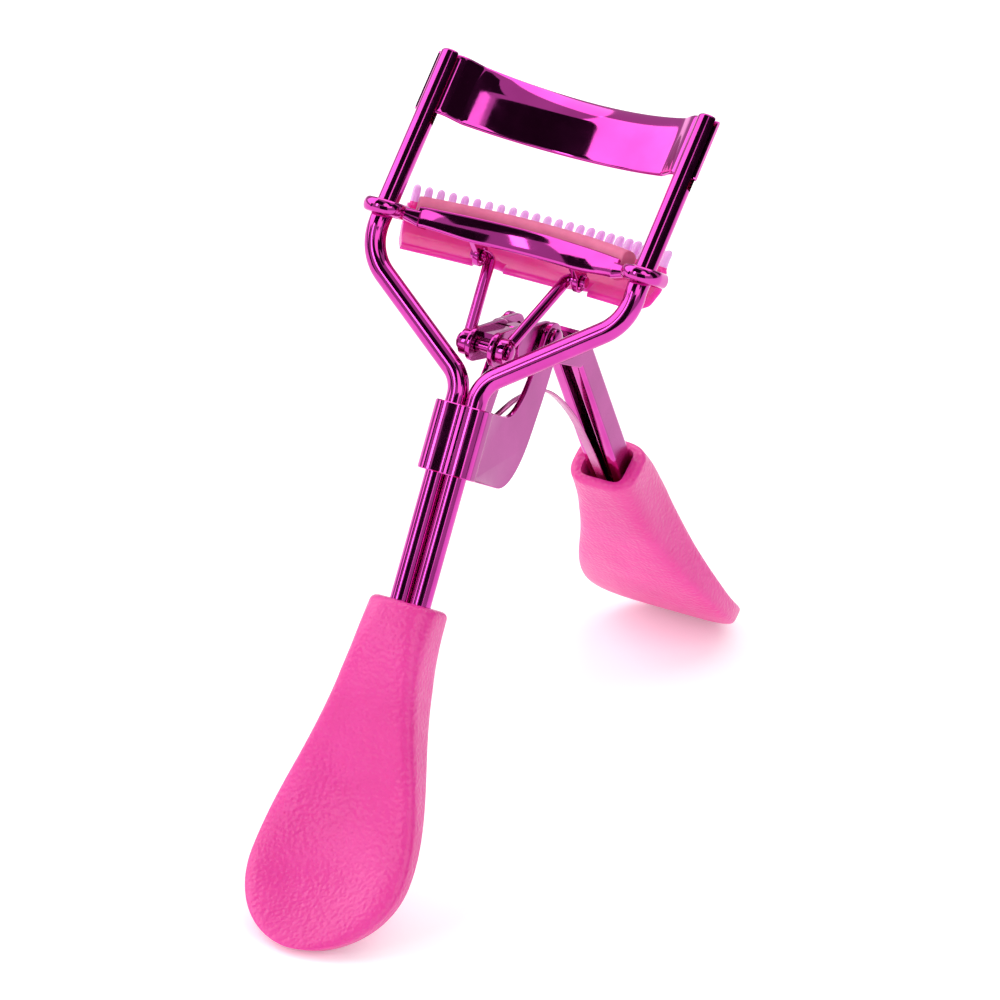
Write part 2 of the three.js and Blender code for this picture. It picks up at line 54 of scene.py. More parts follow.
FRONT_LEAN, REAR_LEAN, HEAD_LEAN = 28.3, 33.5, 18.2
WIRE_R, WIRE_X, STEM_Y, HALF_SPAN = 1.25, 1.27, -12.33, 16.5
ARM_FOOT_Z, ARM_TOP_Z, HEAD_Z, UPRIGHT_LEN = -7.1, 4.0, 7.7, 22.5
JAW_R, JAW_ARCH, JAW_REST = 28.0, 1.0, 2.36
BAND_H, BAND_TOP_DROP, BAND_T = 7.1, 0.5, 0.6
SLOT_W, SLOT_DEPTH = 1.15, 9.3
CRANK = (-11.2, -2.8)
CRANK_BORE_R, FULCRUM_BORE_R = 0.95, 1.3
ROD_R, ROD_TOP, ROD_TOP_X, ROD_EYE_X = 0.7, (6.5, -2.6), 6.4, 2.4
ROD_EYE_R, ROD_EYE_T, ROD_EYE_BORE_R = 1.5, 0.9, 0.98
FERRULE_TOP, FERRULE_BOTTOM, FERRULE_X, FERRULE_Y = -9.92, -18.05, 3.38, 2.12
WING_INNER, WING_OUTER, EAR_R = 2.5, 3.12, 2.2
REAR_STEM_Y, REAR_GRIP_Y, STEM_TOP_Z = 6.05, 5.6, -9.6
GRIP_LEN, GRIP_END_R, MOUTH_HALF_X = 41.0, 9.65, 4.35
FRONT_MOUTH_Z, REAR_MOUTH_Z, INSERTION = -33.2, -34.6, 12.0


def turned(degrees):
    return Matrix.Rotation(math.radians(degrees), 4, "X")


JAW_ORIGIN = Vector((
    0,
    STEM_Y + JAW_REST * math.sin(math.radians(HEAD_LEAN)),
    HEAD_Z + JAW_REST * math.cos(math.radians(HEAD_LEAN)),
))
FRONT = Matrix.Translation(FULCRUM) @ turned(-FRONT_LEAN)
REAR = Matrix.Translation(FULCRUM) @ turned(REAR_LEAN)
HEAD = FRONT @ Matrix.Translation((0, STEM_Y, HEAD_Z)) @ turned(-HEAD_LEAN)
JAW = FRONT @ Matrix.Translation(JAW_ORIGIN)


# ---------- meshes ----------
def loft(rings):
    """Closed skin over equal rings of points, with a flat face over each end."""
    rings = np.asarray(rings, float)
    count, around = rings.shape[:2]
    faces = [tuple(range(around))[::-1]]
    for i in range(count - 1):
        for j in range(around):
            k = (j + 1) % around
            faces.append((i * around + j, i * around + k, (i + 1) * around + k, (i + 1) * around + j))
    faces.append(tuple((count - 1) * around + j for j in range(around)))
    return rings.reshape(-1, 3), faces


def bent_path(points, radii, steps=14):
    """Straight runs joined by arcs, as a list of points."""
    points = [Vector(p) for p in points]
    path = [points[0]]
    for before, corner, after, radius in zip(points, points[1:], points[2:], radii):
        inward = (corner - before).normalized()
        outward = (after - corner).normalized()
        turn = inward.angle(outward)
        axis = inward.cross(outward).normalized()
        start = corner - inward * radius * math.tan(turn / 2)
        to_centre = axis.cross(inward) * radius
        for k in range(steps + 1):
            arm = Matrix.Rotation(turn * k / steps, 3, axis) @ -to_centre
            path.append(start + to_centre + arm)
    path.append(points[-1])
    return path


def tube(path, radius, sides=32, edge=0.2):
    """Round bar along a path, with rounded ends."""
    path = [Vector(p) for p in path]
    headings = [(b - a).normalized() for a, b in zip(path, path[1:])]
    tangents = [headings[0]]
    tangents += [(a + b).normalized() for a, b in zip(headings, headings[1:])]
    tangents.append(headings[-1])
    across = tangents[0].orthogonal().normalized()
    rings = []

    def ring(centre, heading, size):
        side = heading.cross(across)
        turns = [WHOLE_TURN * k / sides for k in range(sides)]
        return [centre + (across * math.cos(a) + side * math.sin(a)) * size for a in turns]

    ends = [math.pi / 2 * k / 4 for k in range(5)]
    for a in reversed(ends[1:]):
        rings.append(ring(path[0] + tangents[0] * edge * (1 - math.sin(a)), tangents[0],
                          radius - edge + edge * math.cos(a)))
    for centre, heading in zip(path, tangents):
        across = (across - heading * across.dot(heading)).normalized()
        if centre == path[0]:
            centre = centre + heading * edge
        if centre == path[-1]:
            centre = centre - heading * edge
        rings.append(ring(centre, heading, radius))
    for a in ends[1:]:
        rings.append(ring(path[-1] - tangents[-1] * edge * (1 - math.sin(a)), tangents[-1],
                          radius - edge + edge * math.cos(a)))
    return loft(rings)


def fillet(outline, radius, steps=3):
    """Rounds every corner of a closed 2D outline."""
    outline = [Vector(p) for p in outline]
    result = []
    for i, corner in enumerate(outline):
        before, after = outline[i - 1], outline[(i + 1) % len(outline)]
        inward, outward = (before - corner), (after - corner)
        reach = min(radius, 0.45 * inward.length, 0.45 * outward.length)
        start = corner + inward.normalized() * reach
        end = corner + outward.normalized() * reach
        for k in range(steps + 1):
            t = k / steps
            result.append(start * (1 - t) ** 2 + corner * 2 * t * (1 - t) + end * t * t)
    return result


def arc(cy, cz, radius, start, end, steps=20):
    """Points round a centre in (y, z), between two angles in degrees."""
    angles = [math.radians(start + (end - start) * k / steps) for k in range(steps + 1)]
    return [(cy + radius * math.cos(a), cz + radius * math.sin(a)) for a in angles]


def bezier(a, b, c, d, steps=12):
    """Points of a cubic curve, without its first."""
    points = []
    for k in range(1, steps + 1):
        t = k / steps
        weights = ((1 - t) ** 3, 3 * t * (1 - t) ** 2, 3 * t * t * (1 - t), t ** 3)
        points.append(tuple(sum(w * p[i] for w, p in zip(weights, (a, b, c, d))) for i in (0, 1)))
    return points


def capsule(a, b, ra, rb, steps=20):
    """Outline round two circles."""
    along = math.degrees(math.atan2(b[1] - a[1], b[0] - a[0]))
    tilt = math.degrees(math.acos((ra - rb) / math.dist(a, b)))
    first = arc(*a, ra, along + tilt, along - tilt + 360, steps)
    return first + arc(*b, rb, along - tilt, along + tilt, steps)


def plate(loops, x0, x1, edge=0.1):
    """Flat sheet with rounded edges; loops are outlines in (y, z), holes after the first."""
    curve = bpy.data.curves.new("outline", "CURVE")
    curve.dimensions = "2D"
    curve.fill_mode = "BOTH"
    curve.extrude = (x1 - x0) / 2 - edge
    curve.bevel_depth = edge
    curve.bevel_resolution = 2
    curve.offset = -edge
    for loop in loops:
        spline = curve.splines.new("POLY")
        spline.points.add(len(loop) - 1)
        for point, (y, z) in zip(spline.points, loop):
            point.co = (y, z, 0, 1)
        spline.use_cyclic_u = True
    holder = bpy.data.objects.new("outline", curve)
    bpy.context.scene.collection.objects.link(holder)
    bpy.context.view_layer.update()
    mesh = bpy.data.meshes.new_from_object(holder.evaluated_get(bpy.context.evaluated_depsgraph_get()))
    points = [((x0 + x1) / 2 + v.co.z, v.co.x, v.co.y) for v in mesh.vertices]
    faces = [tuple(p.vertices) for p in mesh.polygons]
    bpy.data.objects.remove(holder)
    return points, faces


def block(low, high):
    """Box between two corners, to cut or join with."""
    points = [(x, y, z) for x in (low[0], high[0]) for y in (low[1], high[1]) for z in (low[2], high[2])]
    faces = [(0, 1, 3, 2), (4, 6, 7, 5), (0, 4, 5, 1), (2, 3, 7, 6), (0, 2, 6, 4), (1, 5, 7, 3)]
    return points, faces


def bar_x(radius, x0, x1, y, z, sides=32):
    """Round bar along X."""
    return tube([(x0, y, z), (x1, y, z)], radius, sides, edge=0.02)


def placed(shape, place):
    points, faces = shape
    return [place @ Vector(p) for p in points], faces


def mesh_object(name, shape, place):
    """Blender object from a shape in millimetres."""
    points, faces = placed(shape, place)
    mesh = bpy.data.meshes.new(name)
    mesh.from_pydata([p * MM for p in points], [], faces)
    mesh.update()
    obj = bpy.data.objects.new(name, mesh)
    bpy.context.scene.collection.objects.link(obj)
    weld = obj.modifiers.new("weld", "WELD")
    weld.merge_threshold = 1e-6
    settle(obj)
    return obj


def settle(obj):
    """Applies the modifiers and turns every face outwards."""
    bpy.context.view_layer.update()
    evaluated = obj.evaluated_get(bpy.context.evaluated_depsgraph_get())
    mesh = bpy.data.meshes.new_from_object(evaluated)
    obj.modifiers.clear()
    bm = bmesh.new()
    bm.from_mesh(mesh)
    bmesh.ops.recalc_face_normals(bm, faces=bm.faces)
    bm.to_mesh(mesh)
    bm.free()
    obj.data = mesh


def combine(name, base, place, add=(), cut=()):
    """One solid from a base, pieces joined to it and tools cut from it."""
    obj = mesh_object(name, base, place)
    for operation, shapes in (("UNION", add), ("DIFFERENCE", cut)):
        for shape in shapes:
            tool = mesh_object("tool", shape, place)
            step = obj.modifiers.new("step", "BOOLEAN")
            step.operation = operation
            step.object = tool
            step.solver = "EXACT"
            settle(obj)
            bpy.data.objects.remove(tool)
    return obj


def finished(obj, look, body, node, crease=38, weighted=True):
    """Smooth shading, material, and the CAD node and body that the piece stands for."""
    for polygon in obj.data.polygons:
        polygon.use_smooth = True
    obj.data.set_sharp_from_angle(angle=math.radians(crease))
    if weighted:
        normals = obj.modifiers.new("normals", "WEIGHTED_NORMAL")
        normals.keep_sharp = True
        normals.weight = 60
    obj.data.materials.clear()
    obj.data.materials.append(look)
    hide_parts(node)
    if body:
        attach(obj, body)
    return obj


# ---------- materials ----------
NOISE_SPAN = (0.3, 0.7)


class Look:
    """A Principled material whose colour, roughness and relief come from noise sized in millimetres."""

    def __init__(self, name, metallic=0.0):
        self.material = bpy.data.materials.new(name)
        self.material.use_nodes = True
        self.tree = self.material.node_tree
        self.shader = self.tree.nodes["Principled BSDF"]
        self.shader.inputs["Metallic"].default_value = metallic
        place = self.tree.nodes.new("ShaderNodeTexCoord")
        self.coordinates = place.outputs["Object"]

    def noise(self, size_mm, detail=3.0):
        """Cloudy variation of about this size."""
        noise = self.tree.nodes.new("ShaderNodeTexNoise")
        noise.inputs["Scale"].default_value = 1 / (size_mm * MM)
        noise.inputs["Detail"].default_value = detail
        self.tree.links.new(self.coordinates, noise.inputs["Vector"])
        return noise.outputs["Fac"]

    def cells(self, size_mm):
        """Rounded pebbles of about this size."""
        voronoi = self.tree.nodes.new("ShaderNodeTexVoronoi")
        voronoi.feature = "SMOOTH_F1"
        voronoi.inputs["Scale"].default_value = 1 / (size_mm * MM)
        self.tree.links.new(self.coordinates, voronoi.inputs["Vector"])
        return voronoi.outputs["Distance"]

    def colour(self, factor, low, high):
        """Base colour from one colour to another as the factor rises."""
        ramp = self.tree.nodes.new("ShaderNodeValToRGB")
        for stop, position, colour in zip(ramp.color_ramp.elements, NOISE_SPAN, (low, high)):
            stop.position = position
            stop.color = (*colour, 1)
        self.tree.links.new(factor, ramp.inputs["Fac"])
        self.tree.links.new(ramp.outputs["Color"], self.shader.inputs["Base Color"])

    def roughness(self, factor, low, high):
        """Roughness from one value to another as the factor rises."""
        spread = self.tree.nodes.new("ShaderNodeMapRange")
        spread.inputs["From Min"].default_value = NOISE_SPAN[0]
        spread.inputs["From Max"].default_value = NOISE_SPAN[1]
        spread.inputs["To Min"].default_value = low
        spread.inputs["To Max"].default_value = high
        self.tree.links.new(factor, spread.inputs["Value"])
        self.tree.links.new(spread.outputs["Result"], self.shader.inputs["Roughness"])

    def bump(self, height, depth_mm, strength=1.0):
        """Relief on top of any relief the material already has."""
        bump = self.tree.nodes.new("ShaderNodeBump")
        bump.inputs["Strength"].default_value = strength
        bump.inputs["Distance"].default_value = depth_mm * MM
        self.tree.links.new(height, bump.inputs["Height"])
        last = self.shader.inputs["Normal"]
        if last.links:
            self.tree.links.new(last.links[0].from_socket, bump.inputs["Normal"])
        self.tree.links.new(bump.outputs["Normal"], last)

    def set(self, socket, value):
        self.shader.inputs[socket].default_value = value


def plating(name, low, high, rough=(0.05, 0.11), wave=0.004):
    """Coloured chrome with faint waves and small changes of polish."""
    look = Look(name, metallic=1.0)
    look.colour(look.noise(6.0), low, high)
    look.roughness(look.noise(1.6, 4.0), *rough)
    look.bump(look.noise(1.8, 2.0), wave)
    return look.material


def grip_plastic():
    """Satin moulded plastic with a fine leather grain."""
    look = Look("grip_plastic")
    look.colour(look.noise(9.0), (0.75, 0.030, 0.30), (0.82, 0.045, 0.35))
    look.roughness(look.noise(2.5), 0.28, 0.38)
    look.bump(look.cells(0.44), 0.095, 1.0)
    look.bump(look.noise(0.24, 3.0), 0.03, 0.8)
    look.set("Specular IOR Level", 0.6)
    look.set("Subsurface Weight", 0.18)
    look.set("Subsurface Radius", (0.0022, 0.0008, 0.0012))
    look.set("Subsurface Scale", 1.0)
    return look.material


def pad_silicone():
    """Matt, slightly mottled silicone."""
    look = Look("pad_silicone")
    look.colour(look.noise(2.0), (0.64, 0.11, 0.25), (0.73, 0.16, 0.31))
    look.roughness(look.noise(0.8), 0.55, 0.7)
    look.bump(look.noise(0.3, 4.0), 0.01, 0.5)
    look.set("Subsurface Weight", 0.2)
    look.set("Subsurface Radius", (0.0015, 0.0006, 0.0007))
    look.set("Subsurface Scale", 1.0)
    return look.material


def comb_plastic(name, low, high, clear):
    """Glossy tinted plastic that light passes into."""
    look = Look(name)
    look.colour(look.noise(3.0), low, high)
    look.roughness(look.noise(1.5), 0.16, 0.26)
    look.bump(look.noise(1.2), 0.006)
    look.set("Transmission Weight", clear)
    look.set("IOR", 1.49)
    look.set("Subsurface Weight", 0.55)
    look.set("Subsurface Radius", (0.0025, 0.0012, 0.0022))
    look.set("Subsurface Scale", 1.0)
    return look.material


LOOKS = {
    "magenta": plating("magenta_chrome", (0.56, 0.048, 0.35), (0.66, 0.066, 0.43)),
    "band": plating("magenta_sheet", (0.60, 0.056, 0.38), (0.70, 0.074, 0.46), (0.04, 0.09), 0.0025),
    # Side-face plating: rougher, and a darker colour that is painted shade for the dim reflections these
    # faces catch.
    "rough_painted_shade": plating("magenta_rough_painted_shade", (0.34, 0.028, 0.22), (0.40, 0.038, 0.26), (0.18, 0.24), 0.0015),
    "rivet": plating("rivet_chrome", (0.42, 0.03, 0.26), (0.50, 0.045, 0.32), (0.10, 0.2)),
    "spring": plating("spring_steel", (0.52, 0.15, 0.36), (0.60, 0.20, 0.42), (0.2, 0.32)),
    "grip": grip_plastic(),
    "pad": pad_silicone(),
    "comb": comb_plastic("comb_plastic", (0.88, 0.03, 0.33), (0.95, 0.05, 0.40), 0.0),
    # Teeth plastic: a lighter colour painted in as light shining through the thin teeth.
    "teeth": comb_plastic("comb_teeth_painted_backlight", (0.98, 0.40, 0.90), (1.0, 0.50, 0.96), 0.12),
}


def rough_shade_painted_sides(piece):
    """The flat side faces of a stamped piece are rougher than its rolled faces, and painted darker as painted
    shade for the dim reflection they catch.
    """
    piece.data.materials.append(LOOKS["rough_painted_shade"])
    for polygon in piece.data.polygons:
        # Faces turned to either side take the darker plating, a painted shade.
        if abs(polygon.normal.x) > 0.97:
            polygon.material_index = 1


# ---------- frame wires ----------
WIRE_BENDS = (4, 6, 3.6)


def frame_rod(side, label):
    """Bent wire of one side, with the saw cut that holds the band."""
    lean = math.radians(HEAD_LEAN)
    top = Vector((side * HALF_SPAN, STEM_Y + UPRIGHT_LEN * math.sin(lean),
                  HEAD_Z + UPRIGHT_LEN * math.cos(lean)))
    path = bent_path([
        (side * WIRE_X, STEM_Y, FRONT_MOUTH_Z - INSERTION),
        (side * WIRE_X, STEM_Y, ARM_FOOT_Z),
        (side * HALF_SPAN, STEM_Y, ARM_TOP_Z),
        (side * HALF_SPAN, STEM_Y, HEAD_Z),
        top,
    ], WIRE_BENDS)
    cut_box = block((-3, -SLOT_W / 2, -SLOT_DEPTH), (3, SLOT_W / 2, 2))
    saw = placed(cut_box, Matrix.Translation(top) @ turned(-HEAD_LEAN))
    rod = combine(f"{label}_wire", tube(path, WIRE_R, 40, 0.3), FRONT, cut=[saw])
    finished(rod, LOOKS["magenta"], "frame", f"{label}_frame_rod")


# ---------- jaws ----------
CHORD_DROP = math.sqrt(JAW_R ** 2 - HALF_SPAN ** 2)


def jaw_depth(x):
    """How far the jaw's arc lies behind the line between the uprights."""
    return math.sqrt(JAW_R ** 2 - x * x) - CHORD_DROP


def arch(x):
    """How far the jaw's middle rises above its ends."""
    return JAW_ARCH * max(0.0, 1 - (x / HALF_SPAN) ** 2)


def ease(t):
    """Smooth step from 0 to 1."""
    t = min(1.0, max(0.0, t))
    return t * t * (3 - 2 * t)


END_ROUNDING = 0.06


def along_jaw(profile, half_angle, steps=64, taper=None):
    """Sweeps an outline in (rearward, up) along the jaw's arc, rounding its ends slightly."""
    profile = np.array([tuple(p) for p in profile])
    middle = (profile.min(0) + profile.max(0)) / 2
    rings = []
    for i in range(steps + 1):
        angle = half_angle * (2 * i / steps - 1)
        sizes = (0.88, 0.96) if i in (0, steps) else (1.0,)
        for k, size in enumerate(sizes if i == 0 else sizes[::-1]):
            section = middle + (profile - middle) * size
            if taper:
                section = np.array([taper(abs(angle) / half_angle, *p) for p in section])
            shift = END_ROUNDING * (k if i == 0 else len(sizes) - 1 - k) / JAW_R
            swing = angle + (shift if i == 0 else -shift if i == steps else 0)
            ring = []
            for out, up in section:
                x = (JAW_R + out) * math.sin(swing)
                ring.append((x, (JAW_R + out) * math.cos(swing) - CHORD_DROP, up + arch(x)))
            rings.append(ring)
    return loft(rings)


def upper_band():
    """Curved strip with flat tabs in the saw cuts and a lip that flares back along its top."""
    tab_end = HALF_SPAN + WIRE_R + 0.2
    tab_start, blend_length, curve_end = 15.9, 3.2, 16.4
    lip_start, lip_curve, lip_half_length = 4.2, 0.15, 13.6
    lift = UPRIGHT_LEN - BAND_TOP_DROP - BAND_H
    rings = []
    for x in np.linspace(-tab_end, tab_end, 121):
        depth = jaw_depth(min(abs(x), curve_end)) * ease((tab_start - abs(x)) / blend_length)
        middle = max(0.0, 1 - (x / lip_half_length) ** 2)
        line = []
        for height in np.linspace(0, BAND_H, 25):
            above = max(0.0, height - lip_start)
            line.append(Vector((depth + lip_curve * above * above * middle, height)))
        section = strip_section(line, BAND_T)
        rings.append([(x, y, z + lift + arch(x)) for y, z in section])
    band = mesh_object("curved_band", loft(rings), HEAD)
    finished(band, LOOKS["band"], "frame", "upper_jaw_band", 60)


def strip_section(line, thickness):
    """Outline of a strip of even thickness round a line, with round edges."""
    half = thickness / 2
    ahead = [(b - a).normalized() for a, b in zip(line, line[1:])]
    ahead.append(ahead[-1])
    normals = [Vector((h.y, -h.x)) for h in ahead]
    front = [p + n * half for p, n in zip(line, normals)]
    back = [p - n * half for p, n in zip(line, normals)]
    cap = [line[-1] + normals[-1] * half * math.cos(a) + ahead[-1] * half * math.sin(a)
           for a in np.linspace(0, math.pi, 7)[1:-1]]
    foot = [line[0] - normals[0] * half * math.cos(a) - ahead[0] * half * math.sin(a)
            for a in np.linspace(0, math.pi, 7)[1:-1]]
    return [tuple(p) for p in front + cap + back[::-1] + foot]


def jaw_eye(side):
    """Stretched loop round an upright."""
    clearance, width, height = 0.26, 0.5, 0.86
    path_r = WIRE_R + clearance + width
    front, back, drop = -0.3, 1.15, 0.35
    rings = []
    for a in np.linspace(0, WHOLE_TURN, 49)[:-1]:
        shift = back if math.sin(a) > 0 else front
        ring = []
        for b in np.linspace(0, WHOLE_TURN, 17)[:-1]:
            reach = path_r + width * math.cos(b)
            ring.append((side * HALF_SPAN + reach * math.cos(a), shift + reach * math.sin(a),
                         height * math.sin(b) - drop))
        rings.append(ring)
    points, faces = loft(rings)
    around, count = 16, 48
    faces = faces[1:-1]
    last = (count - 1) * around
    faces += [(last + j, last + (j + 1) % around, (j + 1) % around, j) for j in range(around)]
    return points, faces


def jaw_neck(side):
    """Shoulder that runs from the end of the bar into the eye, from square to round."""
    bar_x_end, eye_x = 12.4, HALF_SPAN - WIRE_R - 0.85
    rings = []
    for t in np.linspace(0, 1, 9):
        x = bar_x_end + (eye_x - bar_x_end) * t
        square = 0.35 + 0.4 * t
        centre_y = (jaw_depth(bar_x_end) - 0.5) * (1 - t) + 1.0 * t
        half_y = 1.55 * (1 - t) + 1.1 * t
        half_z = 0.98 * (1 - t) + 0.74 * t
        centre_z = -0.6 * (1 - t) - 0.38 * t
        ring = []
        for a in np.linspace(0, WHOLE_TURN, 21)[:-1]:
            cos, sin = math.cos(a), math.sin(a)
            ring.append((side * x,
                         centre_y + half_y * math.copysign(abs(cos) ** square, cos),
                         centre_z + half_z * math.copysign(abs(sin) ** square, sin)))
        rings.append(ring)
    return loft(rings)


def lower_bar():
    """Channel with a rounded front face and a skirt, and an eye at each end."""
    front, back, skirt, bottom, top, wall = -1.8, 1.8, -2.5, -1.35, 0.45, 0.5
    bulge, middle, half = 0.42, (top + skirt) / 2, (top - skirt) / 2
    face = []
    for angle in np.linspace(-math.pi / 2, math.pi / 2, 17):
        face.append((front + bulge - bulge * math.cos(angle) ** 0.8, middle - half * math.sin(angle)))
    outline = fillet([
        (front + wall, bottom), (back, bottom), (back, top),
        (back - wall, top), (back - wall, bottom + wall), (front + wall, bottom + wall),
        (front + wall + 0.1, top),
    ], 0.15)
    outline = face + [(front + wall, skirt)] + [tuple(p) for p in outline]

    def taper(share, out, up):
        """Draws the skirt up and the face back towards the ends."""
        draw = ease((share - 0.45) / 0.55)
        fixed = bottom + 0.3
        lift = 0.6 * draw * max(0.0, (fixed - up) / (fixed - skirt))
        return out + 0.25 * draw * max(0.0, out / front), up + lift

    extra = [part(side) for side in (-1, 1) for part in (jaw_neck, jaw_eye)]
    bar = combine("jaw_bar", along_jaw(outline, 0.5, 64, taper), JAW, add=extra)
    finished(bar, LOOKS["magenta"], "jaw", "lower_jaw_bar")


def pad():
    """Soft strip with a crowned top, seated in the channel."""
    half, foot, shoulder, crown_start, crown = 1.02, -0.5, 0.8, 1.0, 0.72
    profile = [(-half, foot), (half, foot), (half, shoulder)]
    for a in np.linspace(0.1, 3.04, 13):
        profile.append((half * math.cos(a), crown_start + crown * math.sin(a)))
    profile += [(-half, shoulder)]
    strip = mesh_object("lash_pad", along_jaw(profile, 0.505), JAW)
    finished(strip, LOOKS["pad"], "jaw", "silicone_pad", 50)


# ---------- comb ----------
COMB_R, COMB_MID, COMB_ROOT, COMB_TIP, COMB_ANGLE, TEETH = 28.0, 11.08, 1.1, 3.4, 0.632, 25


def comb_point(swing, out, up):
    """Point of the comb at an angle along its arc, a distance behind the sheet and a height."""
    x = (COMB_R + out) * math.sin(swing)
    return x, (COMB_R + out) * math.cos(swing) - COMB_R + COMB_MID, up + arch(x) / 2


def comb_tooth(swing):
    """Tapered tooth with a rounded tip that leans back a little."""
    width, depth, buried, lean, nose_start = 1.0, 1.2, 0.3, 0.45, 0.8
    tall = COMB_TIP - COMB_ROOT + buried
    rings = []
    for t in (0, 0.2, 0.4, 0.6, 0.8, 0.88, 0.94, 0.975, 0.993, 1.0):
        slim = 1 - 0.12 * t
        nose = math.sqrt(max(0.02, 1 - max(0.0, (t - nose_start) / (1 - nose_start)) ** 2))
        ring = []
        for a in np.linspace(0, WHOLE_TURN, 17)[:-1]:
            cos, sin = math.cos(a), math.sin(a)
            across = 0.5 * width * slim * nose * math.copysign(abs(cos) ** 0.7, cos)
            out = 0.5 * depth * (1 - 0.3 * t) * nose * math.copysign(abs(sin) ** 0.7, sin)
            height = COMB_ROOT - buried + tall * t
            ring.append(comb_point(swing + across / COMB_R, out + lean * t * t, height))
        rings.append(ring)
    return loft(rings)


def joined(shapes):
    """Several shapes as one list of points and one of faces."""
    points, faces = [], []
    for shape_points, shape_faces in shapes:
        base = len(points)
        points += [tuple(p) for p in shape_points]
        faces += [tuple(base + i for i in face) for face in shape_faces]
    return points, faces


def comb():
    """Curved sheet with a row of teeth above and a flange below, notched round the push rods."""
    wall, notch_x, notch_half, tooth_base = 0.4, 5.6, 1.8, COMB_ROOT + 0.3
    outline = fillet([
        (-wall, COMB_ROOT), (-wall, -1.2), (-1.2, -2.6), (-2.7, -3.8), (-2.6, -4.6),
        (-0.6, -3.4), (wall, -1.4), (wall, COMB_ROOT),
    ], 0.35)
    swings = np.linspace(-COMB_ANGLE, COMB_ANGLE, 73)
    rings = [[comb_point(swing, *p) for p in outline] for swing in swings]
    pitch = 2 * COMB_ANGLE / TEETH
    teeth = joined([comb_tooth(-COMB_ANGLE + pitch * (i + 0.5)) for i in range(TEETH)])
    notches = [
        block((side * notch_x - notch_half, 5.1, -6.2), (side * notch_x + notch_half, 8.7, -2.2))
        for side in (-1, 1)
    ]
    piece = combine("comb", loft(rings), JAW, add=[teeth], cut=notches)
    finished(piece, LOOKS["comb"], "jaw", "lash_comb", 45)
    # Faces above the tooth roots get the lighter teeth colour, painted light for light passing through the
    # thin teeth.
    piece.data.materials.append(LOOKS["teeth"])
    to_jaw = JAW.inverted()
    for polygon in piece.data.polygons:
        polygon.material_index = int((to_jaw @ (polygon.center / MM)).z > tooth_base)


# ---------- clasp ----------
def sleeve_ring(half_x, half_y, corner, z, groove):
    """Rounded rectangle round the two wires, pressed in between them at the front."""
    ring = []
    centres = ((1, -1, -90), (1, 1, 0), (-1, 1, 90), (-1, -1, 180))
    for sx, sy, start in centres:
        for a in np.linspace(start, start + 90, 9):
            x = sx * (half_x - corner) + corner * math.cos(math.radians(a))
            y = sy * (half_y - corner) + corner * math.sin(math.radians(a))
            ring.append((x, STEM_Y + y, z))
        if (sx, sy) == (-1, -1):
            for x in np.linspace(-(half_x - corner), half_x - corner, 12)[1:-1]:
                ring.append((x, STEM_Y - half_y + groove * math.exp(-(x / 0.8) ** 2), z))
    return ring


def clasp():
    """Sleeve round the wires with two wings that carry the fulcrum."""
    wall, corner, edge, groove = 0.6, 1.7, 0.12, 0.34
    stations = []
    for z, inset in ((FERRULE_BOTTOM, edge), (FERRULE_BOTTOM + edge, 0), (FERRULE_TOP - edge, 0),
                     (FERRULE_TOP, edge)):
        stations.append(sleeve_ring(FERRULE_X - inset, FERRULE_Y - inset, corner - inset, z, groove))
    inner = [sleeve_ring(FERRULE_X - wall, FERRULE_Y - wall, corner - wall, z, 0.1)
             for z in (FERRULE_BOTTOM - 1, FERRULE_TOP + 1)]
    outline = [(STEM_Y + 0.3, FERRULE_TOP), (-7.4, FERRULE_TOP)]
    outline += bezier((-7.4, FERRULE_TOP), (-5.0, FERRULE_TOP), (-3.6, -7.6), (-3.0, -5.0))
    outline += arc(0, 0, EAR_R, 180, 0)
    outline += bezier((EAR_R, 0), (2.1, -3.0), (2.0, -5.0), (1.8, -7.0))
    outline += [(1.2, -11.5)]
    outline += bezier((1.2, -11.5), (0.6, -15.4), (-1.4, FERRULE_BOTTOM), (-4.2, FERRULE_BOTTOM))
    outline += [(STEM_Y + 0.3, FERRULE_BOTTOM)]
    outline = smoothed_outline(outline)
    bore = arc(0, 0, FULCRUM_BORE_R, 0, 352.5, 47)
    wings = [plate([outline, bore], -WING_OUTER, -WING_INNER), plate([outline, bore], WING_INNER, WING_OUTER)]
    piece = combine("wire_clasp", loft(stations), FRONT, add=wings, cut=[loft(inner)])
    finished(piece, LOOKS["magenta"], "frame", "clasp")
    rough_shade_painted_sides(piece)


def smoothed_outline(outline):
    """Drops points that repeat or nearly repeat."""
    kept = []
    for point in outline:
        if not kept or math.dist(point, kept[-1]) > 0.03:
            kept.append(point)
    return kept


def rivet(radius, head_r, half_grip, head_h):
    """Round pin along X with a domed head at each end."""
    profile = [(head_r * math.cos(a), half_grip + head_h * math.sin(a)) for a in np.linspace(1.5, 0, 9)]
    profile += [(head_r, half_grip), (radius, half_grip)]
    profile += [(r, -x) for r, x in profile[::-1]]
    rings = []
    for r, x in profile:
        rings.append([(x, r * math.cos(a), r * math.sin(a)) for a in np.linspace(0, WHOLE_TURN, 33)[:-1]])
    return loft(rings)


# ---------- rear lever ----------
def crank_in_lever():
    """The crank pin's place in the rear lever's own frame."""
    turn = math.radians(FRONT_LEAN + REAR_LEAN)
    y, z = CRANK
    return y * math.cos(turn) + z * math.sin(turn), z * math.cos(turn) - y * math.sin(turn)


def stem_section(half_x, half_y, wall, slit):
    """C-shaped rolled section, open towards the front."""
    outer = fillet([(slit, -half_y), (half_x, -half_y), (half_x, half_y), (-half_x, half_y),
                    (-half_x, -half_y), (-slit, -half_y), (-slit, -half_y + wall),
                    (-half_x + wall, -half_y + wall), (-half_x + wall, half_y - wall),
                    (half_x - wall, half_y - wall), (half_x - wall, -half_y + wall),
                    (slit, -half_y + wall)], 0.55, 5)
    return [(p.x, REAR_STEM_Y + p.y) for p in outer]


